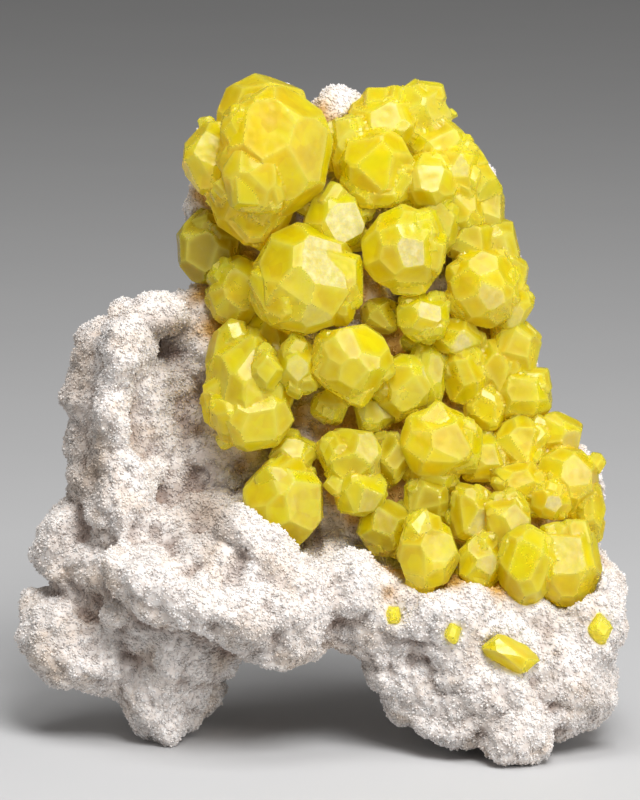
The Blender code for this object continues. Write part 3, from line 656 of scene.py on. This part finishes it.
def remeshed(name, solid, voxel):
    """A new object whose mesh is the voxel skin of the given solid, which is freed."""
    mesh = bpy.data.meshes.new(name + "_skin")
    solid.to_mesh(mesh)
    solid.free()
    scratch = bpy.data.objects.new(name, mesh)
    bpy.context.scene.collection.objects.link(scratch)
    skin = scratch.modifiers.new("skin", "REMESH")
    skin.mode = "VOXEL"
    skin.voxel_size = voxel * MM
    skin.adaptivity = 0.0
    settled = scratch.evaluated_get(bpy.context.evaluated_depsgraph_get())
    result = bpy.data.meshes.new_from_object(settled)
    bpy.data.objects.remove(scratch)
    return added(name, result)


def added(name, mesh):
    made = bpy.data.objects.new(name, mesh)
    bpy.context.scene.collection.objects.link(made)
    return made


def inside_box(points):
    low, high = np.array(cad_box[0]), np.array(cad_box[1])
    return np.clip(points, low, high)


def finish_piece(made, look):
    made.data.materials.clear()
    made.data.materials.append(look)
    made.data.polygons.foreach_set("use_smooth", np.ones(len(made.data.polygons), bool))
    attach(made, "root")


# ---------------------------------------------------------------------------------------------------------
# Crystals

def axes_of(face, spin):
    """Rotation that turns the basal face to look face degrees right and up, spun about it."""
    looks = direction(*face).to_track_quat("Z", "Y").to_matrix()
    return np.array(looks @ Matrix.Rotation(math.radians(spin), 3, "Z"))


def faces_of_form(index):
    """The outward normals of every face that one index stands for."""
    signs = [(1, -1) if number else (1,) for number in index]
    for x in signs[0]:
        for y in signs[1]:
            for z in signs[2]:
                face = np.array([index[0] * x, index[1] * y, index[2] * z]) / CELL
                yield face / np.linalg.norm(face)


def faced_way(right, up, half):
    """Normal of an ellipsoid of these half sizes where it is seen so far to the right and up, as shares."""
    near = math.sqrt(max(0.02, 1.0 - right * right - up * up))
    rise = math.radians(CAMERA_RISE)
    seen = np.array([right / half[0], up / half[2], near / half[1]])
    way = np.array([seen[0], seen[1] * math.sin(rise) - seen[2] * math.cos(rise),
                    seen[1] * math.cos(rise) + seen[2] * math.sin(rise)])
    return way / np.linalg.norm(way)


class Body:
    """One convex crystal body: flat faces as outward normals and distances from a middle, in metres."""

    def __init__(self, middle, half, axes, habit, chance, tone, dust_and_reflection, node, facets=()):
        self.middle = middle
        self.half = half
        self.tone = tone
        self.node = node
        planes = [(faced_way(right / share, up / share, half), share, veil)
                  for right, up, share, veil in facets]
        self.facets = [plane[0] for plane in planes]
        for index, share in FORMS[habit].items():
            for face in faces_of_form(index):
                way = axes @ face
                share_here = share + chance.normal(0, FACE_JITTER)
                basal = index == (0, 0, 1) and way @ axes[:, 2] > 0
                if all(way @ other < FACET_ROOM for other in self.facets):
                    planes.append((way, share_here, dust_and_reflection if basal else 0.0))
        wanted = len(planes) + SMALL_FACES[habit]
        for way in chance.normal(0, 1, (SMALL_FACES[habit] * SMALL_FACE_TRIES, 3)):
            way = way / np.linalg.norm(way)
            if len(planes) < wanted and all(way @ other[0] < SMALL_FACE_ROOM for other in planes):
                planes.append((way, chance.uniform(*SMALL_FACE_SHARE), 0.0))
        self.normals = np.array([plane[0] for plane in planes])
        reach = np.sqrt(((self.normals * half) ** 2).sum(1))
        self.offsets = reach * np.array([plane[1] for plane in planes]) + self.normals @ middle
        self.tints = chance.uniform(0, 1, len(planes))
        self.veils = np.array([plane[2] for plane in planes])

    def heights(self, points):
        """How high each point stands over each face."""
        return points @ self.normals.T - self.offsets

    def level(self, points):
        """Softened height of each point over the body, and the slope of that height."""
        heights = self.heights(points)
        top = heights.max(1)
        weight = np.exp((heights - top[:, None]) / (EDGE_SOFTNESS * MM))
        total = weight.sum(1)
        return top + EDGE_SOFTNESS * MM * np.log(total), weight @ self.normals / total[:, None]

    def near(self, points, limit):
        """Numbers of the points within this many half sizes, squared, of the middle."""
        return np.nonzero((((points - self.middle) / self.half) ** 2).sum(1) < limit)[0]


def joined_level(points, bodies):
    """Height of each point over the skin that the bodies share, and its slope."""
    levels = np.full((len(bodies), len(points)), FAR)
    slopes = np.zeros((len(bodies), len(points), 3))
    for number, body in enumerate(bodies):
        close = body.near(points, SETTLE_NEAR)
        if len(close):
            levels[number, close], slopes[number, close] = body.level(points[close])
    low = levels.min(0)
    weight = np.exp((low - levels) / (JOIN_SOFTNESS * MM))
    total = weight.sum(0)
    slope = (weight[:, :, None] * slopes).sum(0) / total[:, None]
    return low - JOIN_SOFTNESS * MM * np.log(total), slope


def settle(points, bodies, rounds):
    """Points moved onto the skin that the bodies share."""
    limit = SETTLE_STEP * MM
    for _ in range(rounds):
        level, slope = joined_level(points, bodies)
        step = level / np.maximum((slope ** 2).sum(1), 0.3)
        points = points - slope * np.clip(step, -limit, limit)[:, None]
    return points


def lowest_skins(points, bodies):
    """The two lowest skins at each point and their normals, the owner of the lowest, and the heights."""
    low = np.full((2, len(points)), FAR)
    ways = np.zeros((2, len(points), 3))
    owner = np.full(len(points), -1)
    over = {}
    for number, body in enumerate(bodies):
        close = body.near(points, CRISP_NEAR)
        if not len(close):
            continue
        heights = body.heights(points[close])
        ruling = heights.argmax(1)
        over[number] = (close, heights, ruling)
        top = heights[np.arange(len(close)), ruling]
        first = top < low[0, close]
        at = close[first]
        low[1, at], ways[1, at] = low[0, at], ways[0, at]
        low[0, at], ways[0, at], owner[at] = top[first], body.normals[ruling[first]], number
        second = ~first & (top < low[1, close])
        low[1, close[second]], ways[1, close[second]] = top[second], body.normals[ruling[second]]
    return low, ways, owner, over


def crisp(points, bodies):
    """Points beside an edge, a corner or a crease of the shared skin, moved onto it."""
    reach = EDGE_REACH * MM
    low, ways, owner, over = lowest_skins(points, bodies)
    rows = np.zeros((len(points), 4, 3))
    drop = np.zeros((len(points), 4))
    rows[:, 0], drop[:, 0] = ways[0], low[0]
    cosine = (ways[0] * ways[1]).sum(1)
    apart = np.abs(low[1] - low[0] * cosine) / np.sqrt(np.maximum(1 - cosine ** 2, 0.01))
    crease = (apart < reach) & (cosine < 0.97)
    rows[crease, 1], drop[crease, 1] = ways[1][crease], low[1][crease]
    for number, (close, heights, ruling) in over.items():
        mine = owner[close] == number
        at, heights, ruling = close[mine], heights[mine], ruling[mine]
        if not len(at):
            continue
        each = np.arange(len(at))
        normals = bodies[number].normals
        cosine = np.clip(normals @ normals.T, -1, 1)[ruling]
        apart = heights[each, ruling][:, None] * cosine - heights
        apart /= np.sqrt(np.maximum(1 - cosine ** 2, 0.01))
        apart[cosine > 0.995] = FAR
        for slot in (2, 3):
            best = apart.argmin(1)
            found = apart[each, best] < reach
            rows[at[found], slot] = normals[best[found]]
            drop[at[found], slot] = heights[each, best][found]
            apart[each, best] = FAR
    square = rows @ rows.transpose(0, 2, 1) + 0.004 * np.eye(4)
    move = -(rows.transpose(0, 2, 1) @ np.linalg.solve(square, drop[:, :, None]))[:, :, 0]
    length = np.linalg.norm(move, axis=1)
    return points + move * np.minimum(1.0, 1.6 * reach / np.maximum(length, 1e-9))[:, None]


def number_for(size, steps):
    """The count of the first step that the size is over, or none."""
    return next((count for least, count in steps if size > least), 0)


def bodies_of(node):
    """The node's individuals, each with the smaller ones that grew on its sides."""
    chance = np.random.default_rng(sum(map(ord, node)))
    tone = TONES.get(node, PLAIN_TONE)
    bodies = []
    for number, (middle, half, face, spin, habit, dust_and_reflection, *facets) in enumerate(CRYSTALS[node]):
        middle, half = np.array(middle) * MM, np.array(half) * MM * CRYSTAL_SWELL
        size = 0.0 if node in LONE else half.mean() / MM
        core = half * (CORE_SHARE if size > CORE_FROM else 1.0)
        main = Body(middle, core, axes_of(face, spin), habit, chance, tone, dust_and_reflection, node, facets)
        bodies.append(main)
        for _ in range(number_for(size, GROWTHS)):
            bodies.append(growth_on(main, half, face, spin, chance))
        for _ in range(number_for(size, CRUMBS)):
            crumb = crumb_beside(main, half, number, chance)
            if crumb:
                bodies.append(crumb)
    return bodies


def growth_on(main, half, face, spin, chance):
    """A smaller individual on the near side of the main one, turned nearly as it is."""
    way = open_way(chance, main.facets)
    share = chance.uniform(*GROWTH_SHARE)
    turned = axes_of((face[0] + chance.normal(0, 12), face[1] + chance.normal(0, 12)),
                     spin + chance.normal(0, 20))
    place = main.middle + half * way * (1.0 - share) * chance.uniform(*GROWTH_OUT)
    return Body(place, half * share, turned, "plain", chance, main.tone + chance.uniform(-0.1, 0.2), 0.0,
                main.node)


def crumb_beside(main, half, number, chance):
    """A small crystal in the gap between this individual and the next, where there is one."""
    around = chance.uniform(0, 2 * math.pi)
    way = np.array([math.cos(around), chance.uniform(0.1, 0.6), math.sin(around)])
    way /= np.linalg.norm(way)
    small = np.full(3, chance.uniform(*CRUMB_HALF) * MM) * chance.uniform(0.8, 1.25, 3)
    turned = axes_of(chance.uniform(-50, 50, 2), chance.uniform(0, 90))
    place = main.middle + half * way * chance.uniform(*CRUMB_OUT)
    if not beside_another(place, main.node, number):
        return None
    return Body(place, small, turned, "plain", chance, main.tone + chance.uniform(0.0, 0.4),
                0.5 * (chance.random() > 0.7), main.node)


def beside_another(place, node, number):
    """Whether a place lies close to the skin of another individual."""
    return any(
        1.0 < sum(((p / MM - m) / h) ** 2 for p, m, h in zip(place, middle, half)) < 1.8
        for name, individuals in CRYSTALS.items()
        for other, (middle, half, *_) in enumerate(individuals)
        if (name, other) != (node, number)
    )


def open_way(chance, facets):
    """A direction on the near side that stays off the given faces."""
    for _ in range(30):
        way = chance.normal(0, 1, 3)
        way[1] = -abs(way[1]) * 0.6
        way /= np.linalg.norm(way)
        if all(way @ other < 0.55 for other in facets):
            break
    return way


def rough_balls(bodies):
    """A ball a little smaller than each body, to be skinned over."""
    solid = bmesh.new()
    for body in bodies:
        made = bmesh.ops.create_icosphere(solid, subdivisions=3, radius=1.0)
        for vert in made["verts"]:
            vert.co = Vector(body.middle) + Vector([c * h for c, h in zip(vert.co, body.half * BALL_SHARE)])
    return solid


def crystal_paint(points, bodies):
    """Tone with painted shade, tint, painted rim highlight, and dust with painted reflection, of the body
    whose skin is nearest to each point.
    """
    away = np.full(len(points), 1.0)
    paint = {name: np.zeros(len(points)) for name in ("rim", "tone", "tint", "dust_and_reflection")}
    for body in bodies:
        level = np.abs(body.level(points)[0])
        own = level < away
        away[own] = level[own]
        heights = body.heights(points)
        ruling = heights.argmax(1)[own]
        two = np.partition(heights, -2, axis=1)[own, -2:]
        # Painted highlight along the edges, strongest where the two highest faces meet.
        paint["rim"][own] = np.exp(-((two[:, 1] - two[:, 0]) / MM / RIM_HIGHLIGHT_WIDTH) ** 2)
        # The node's tone, painted shade on shaded_crystal.
        paint["tone"][own] = body.tone
        paint["tint"][own] = body.tints[ruling]
        # Dust and painted reflection of the face that rules each point.
        paint["dust_and_reflection"][own] = body.veils[ruling]
    return paint


def crystal_piece(node, bodies, look, shift):
    """The dressed crystals of one node, in place of its solid."""
    made = remeshed(node + "_crystal", rough_balls(bodies), CRYSTAL_VOXEL)
    points, edges = mesh_arrays(made.data)
    points = settle(points, bodies, 4)
    points = crisp(settle(smoothed(points, edges, 2, 0.4), bodies, 3), bodies)
    paint = crystal_paint(points, bodies)
    set_points(made.data, points)
    normals = smoothed(vertex_normals(made.data), edges, 1)
    swell = (0.07 * noise_at(points, 4.0, shift + 3.0) + 0.06 * noise_at(points, 1.4, shift + 7.0)) * MM
    set_points(made.data, inside_box(points + normals * swell[:, None]))
    paint["dust_and_reflection"] = smoothed(paint["dust_and_reflection"], edges, 1)
    for name, values in paint.items():
        store(made.data, name, values)
    finish_piece(made, look)
    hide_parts(node)
    made.data.set_sharp_from_angle(angle=math.radians(SHARP_EDGE))


# ---------------------------------------------------------------------------------------------------------
# Rock

def rock_solid():
    """The matrix solid with its flat faces whole, and the fillings behind the crystals."""
    solid = bmesh.new()
    solid.from_mesh(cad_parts["matrix"].data)
    bmesh.ops.remove_doubles(solid, verts=solid.verts[:], dist=1e-6)
    bmesh.ops.dissolve_limit(solid, angle_limit=math.radians(0.6), verts=solid.verts[:], edges=solid.edges[:])
    for middle, half in ROCK_FILL:
        stretch = Matrix.Diagonal((*(size * MM for size in half), 1.0))
        bmesh.ops.create_icosphere(solid, subdivisions=3, radius=1.0,
                                   matrix=Matrix.Translation(Vector(middle) * MM) @ stretch)
    return solid


def gaps_to_crystals(points, bodies):
    """How far each point stands off the nearest crystal, and off the second nearest node on the wall."""
    reach = CRYSTAL_GAP_REACH * MM
    gaps = {"none": np.full(len(points), reach)}
    for body in bodies:
        gap = gaps.setdefault(body.node, np.full(len(points), reach))
        size = body.half.max() + reach
        close = np.nonzero((np.abs(points - body.middle) < size).all(1))[0]
        if len(close):
            gap[close] = np.minimum(gap[close], body.level(points[close])[0])
    crowd = np.sort([gap for name, gap in gaps.items() if name not in LONE], axis=0)
    return np.min(list(gaps.values()), axis=0), crowd[1]


def spot_at(points, right, up, radius, share):
    """A soft spot where the camera sees it, right and up of its aim in mm."""
    rise = math.radians(CAMERA_RISE)
    aim = CAMERA_TARGET[2] / MM
    seen_up = (points[:, 2] / MM - aim) * math.cos(rise) + points[:, 1] / MM * math.sin(rise)
    away = (points[:, 0] / MM - right) ** 2 + (seen_up - up) ** 2
    return share * np.exp(-away / radius ** 2)


def rock_raised(points):
    """How high the rock's heads and grit stand, in mm."""
    heads = sum(high * (heads_at(points, size, shift) - mean) for high, size, shift, mean in ROCK_HEADS)
    high, size, shift = ROCK_GRIT
    return heads + high * noise_at(points, size, shift) - ROCK_SINK


def rock_piece(look, crystals):
    """The dressed rock, in place of the matrix solid."""
    made = remeshed("matrix_rock", rock_solid(), ROCK_VOXEL)
    points, edges = mesh_arrays(made.data)
    points = smoothed(points, edges, ROCK_SMOOTH)
    set_points(made.data, points)
    normals = smoothed(vertex_normals(made.data), edges, 4)
    nearest, _ = gaps_to_crystals(points, crystals)
    raised = rock_raised(points) * np.clip((nearest - 0.4 * MM) / (2.0 * MM), 0.0, 1.0)
    points = inside_box(points + normals * (raised * MM)[:, None])
    points[:, 2] = np.minimum(points[:, 2], ROCK_TOP * MM)
    set_points(made.data, points)
    nearest, second = gaps_to_crystals(points, crystals)
    # Painted shade in the hollows, by how far each point lies below its smoothed place, and under overhangs.
    sunk = sum(weight * np.einsum("ij,ij->i", smoothed(points, edges, rounds) - points, normals) / MM
               for rounds, weight in ROCK_HOLLOWS)
    under = np.clip(-normals[:, 2], 0.0, 1.0)
    store(made.data, "hollow_shade", 0.30 + 0.5 * smoothed(sunk, edges, 1) + 0.25 * under)
    # Painted shade in the gaps where two crystal nodes come close.
    store(made.data, "between", 1.2 * np.exp(-np.clip(second, 0, 1) / (2.8 * MM)) * (nearest < 5 * MM))
    # Painted light under the crystals: pale yellow where a crystal sits within half a mm.
    store(made.data, "socket_glow", np.clip(1.0 - nearest / (0.5 * MM), 0.0, 1.0))
    # Brown spots, partly painted shade.
    store(made.data, "soil_and_shade", sum(spot_at(points, *spot) for spot in SOIL_AND_SHADE))
    store(made.data, "ochre", spot_at(points, *OCHRE))
    finish_piece(made, look)
    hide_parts("matrix")
    return made


def triangles_of(mesh):
    mesh.calc_loop_triangles()
    corners = np.empty(len(mesh.loop_triangles) * 3, np.int64)
    mesh.loop_triangles.foreach_get("vertices", corners)
    return corners.reshape(-1, 3)


def painted_values(mesh, name):
    values = np.empty(len(mesh.vertices), np.float32)
    mesh.attributes[name].data.foreach_get("value", values)
    return values


def grain_seats(points, corners, socket_glow, chance, total):
    """Where the grains sit: the triangle of each, its shares of that triangle's corners, and its normal."""
    a, b, c = (points[corners[:, k]] for k in range(3))
    normals = np.cross(b - a, c - a)
    area = np.linalg.norm(normals, axis=1)
    normals /= np.maximum(area, 1e-18)[:, None]
    open_face = socket_glow[corners].max(1) < 0.5
    above = a[:, 2] > GRAIN_FLOOR * MM
    weight = area * open_face * above * (1.0 + FRONT_EXTRA * (normals[:, 1] < 0.25))
    face = chance.choice(len(corners), total, p=weight / weight.sum())
    u, v = chance.random(total), chance.random(total)
    flip = u + v > 1
    u[flip], v[flip] = 1 - u[flip], 1 - v[flip]
    seat = a[face] + (b - a)[face] * u[:, None] + (c - a)[face] * v[:, None]
    return face, np.stack([1 - u - v, u, v], 1), seat, normals[face]


def grain_tips(seat, normals, chance):
    """The six corners of a small tilted octahedron on each seat."""
    total = len(seat)
    size = chance.lognormal(math.log(GRAIN_HALF), GRAIN_SPREAD, total).clip(*GRAIN_LIMITS) * MM
    up = unit_rows(normals + chance.normal(0, GRAIN_TILT, (total, 3)))
    side = unit_rows(np.cross(up, chance.normal(0, 1, (total, 3))))
    across = np.cross(up, side)
    wide = size[:, None] * chance.uniform(0.75, 1.15, (total, 2))
    tall = size * chance.uniform(0.8, 1.25, total)
    middle = seat + up * (tall * chance.uniform(0.0, 0.5, total))[:, None]
    tips = np.stack([middle + side * wide[:, :1], middle + across * wide[:, 1:],
                     middle - side * wide[:, :1], middle - across * wide[:, 1:],
                     middle + up * tall[:, None], middle - up * tall[:, None]], 1)
    return inside_box(tips.reshape(-1, 3)).reshape(-1, GRAIN_CORNERS, 3)


def grain_mesh(name, tips):
    """One mesh of many octahedra."""
    count = len(tips)
    mesh = bpy.data.meshes.new(name)
    mesh.vertices.add(count * GRAIN_CORNERS)
    mesh.vertices.foreach_set("co", tips.astype(np.float32).ravel())
    first = GRAIN_CORNERS * np.arange(count)[:, None, None]
    corner = (np.array(GRAIN_FACES)[None] + first).astype(np.int32).ravel()
    mesh.loops.add(len(corner))
    mesh.loops.foreach_set("vertex_index", corner)
    mesh.polygons.add(count * len(GRAIN_FACES))
    mesh.polygons.foreach_set("loop_start", np.arange(0, len(corner), 3, dtype=np.int32))
    mesh.update(calc_edges=True)
    mesh.validate()
    return mesh


def grain_pieces(rock, look):
    """Sugary grains over the open skin of the rock, in pieces from left to right."""
    chance = np.random.default_rng(41)
    points, _ = mesh_arrays(rock.data)
    corners = triangles_of(rock.data)
    paint = {name: painted_values(rock.data, name) for name in ROCK_PAINT}
    total = GRAIN_PIECES * GRAINS_PER_PIECE
    face, shares, seat, normals = grain_seats(points, corners, paint["socket_glow"], chance, total)
    tips = grain_tips(seat, normals, chance)
    order = np.argsort(seat[:, 0], kind="stable")
    for piece, chosen in enumerate(np.array_split(order, GRAIN_PIECES), start=1):
        name = f"matrix_grains_{piece}"
        mesh = grain_mesh(name, tips[chosen])
        for key, values in paint.items():
            held = (values[corners[face[chosen]]] * shares[chosen]).sum(1)
            store(mesh, key, np.repeat(held, GRAIN_CORNERS))
        finish_piece(added(name, mesh), look)


# ---------------------------------------------------------------------------------------------------------
# Stage

def placed(name, data, azimuth, elevation, distance):
    """A camera or a light at this place, aimed at the middle of the specimen."""
    made = added(name, data)
    back = direction(azimuth, elevation)
    made.location = Vector(CAMERA_TARGET) + back * distance
    made.rotation_euler = (-back).to_track_quat("-Z", "Y").to_euler()
    return made


def camera():
    data = bpy.data.cameras.new("camera")
    data.sensor_width = 36.0
    data.lens = CAMERA_LENS
    data.clip_start = 0.05
    data.clip_end = 20.0
    bpy.context.scene.camera = placed("camera", data, 0.0, CAMERA_RISE, CAMERA_DISTANCE)


def softbox(name, azimuth, elevation, distance, width, height, power):
    data = bpy.data.lights.new(name, "AREA")
    data.shape = "RECTANGLE"
    data.size = width
    data.size_y = height
    data.energy = power
    placed(name, data, azimuth, elevation, distance).visible_camera = False


def floor():
    mesh = bpy.data.meshes.new("floor")
    corners = [(x * FLOOR_HALF, y * FLOOR_HALF, 0) for x, y in ((-1, -1), (1, -1), (1, 1), (-1, 1))]
    mesh.from_pydata(corners, [], [(0, 1, 2, 3)])
    look = Look("floor_paper", Roughness=0.85, Specular_IOR_Level=0.2)
    look.feed("Base Color", look.blend(0.5 * look.mottle(60.0), rgb("b9b9ba"), rgb("c0c0c0")))
    mesh.materials.append(look.material)
    added("floor", mesh)


def studio():
    for name, values in SOFTBOXES.items():
        softbox(name, *values)
    world = bpy.data.worlds.new("studio")
    bpy.context.scene.world = world
    world.use_nodes = True
    world.node_tree.nodes["Background"].inputs["Color"].default_value = ROOM_COLOUR
    world.node_tree.nodes["Background"].inputs["Strength"].default_value = ROOM_LIGHT
    bpy.context.scene.view_settings.view_transform = "Standard"


camera()
studio()
floor()

sulfur = sulfur_look("sulfur")
rock = rock_look("rock_white", 0.05)
sugar = rock_look("rock_sugar", 0.03)

crystals = {node: bodies_of(node) for node in CRYSTALS}
for index, (node, bodies) in enumerate(crystals.items()):
    crystal_piece(node, bodies, sulfur, 1.7 * index)
grain_pieces(rock_piece(rock, sum(crystals.values(), [])), sugar)
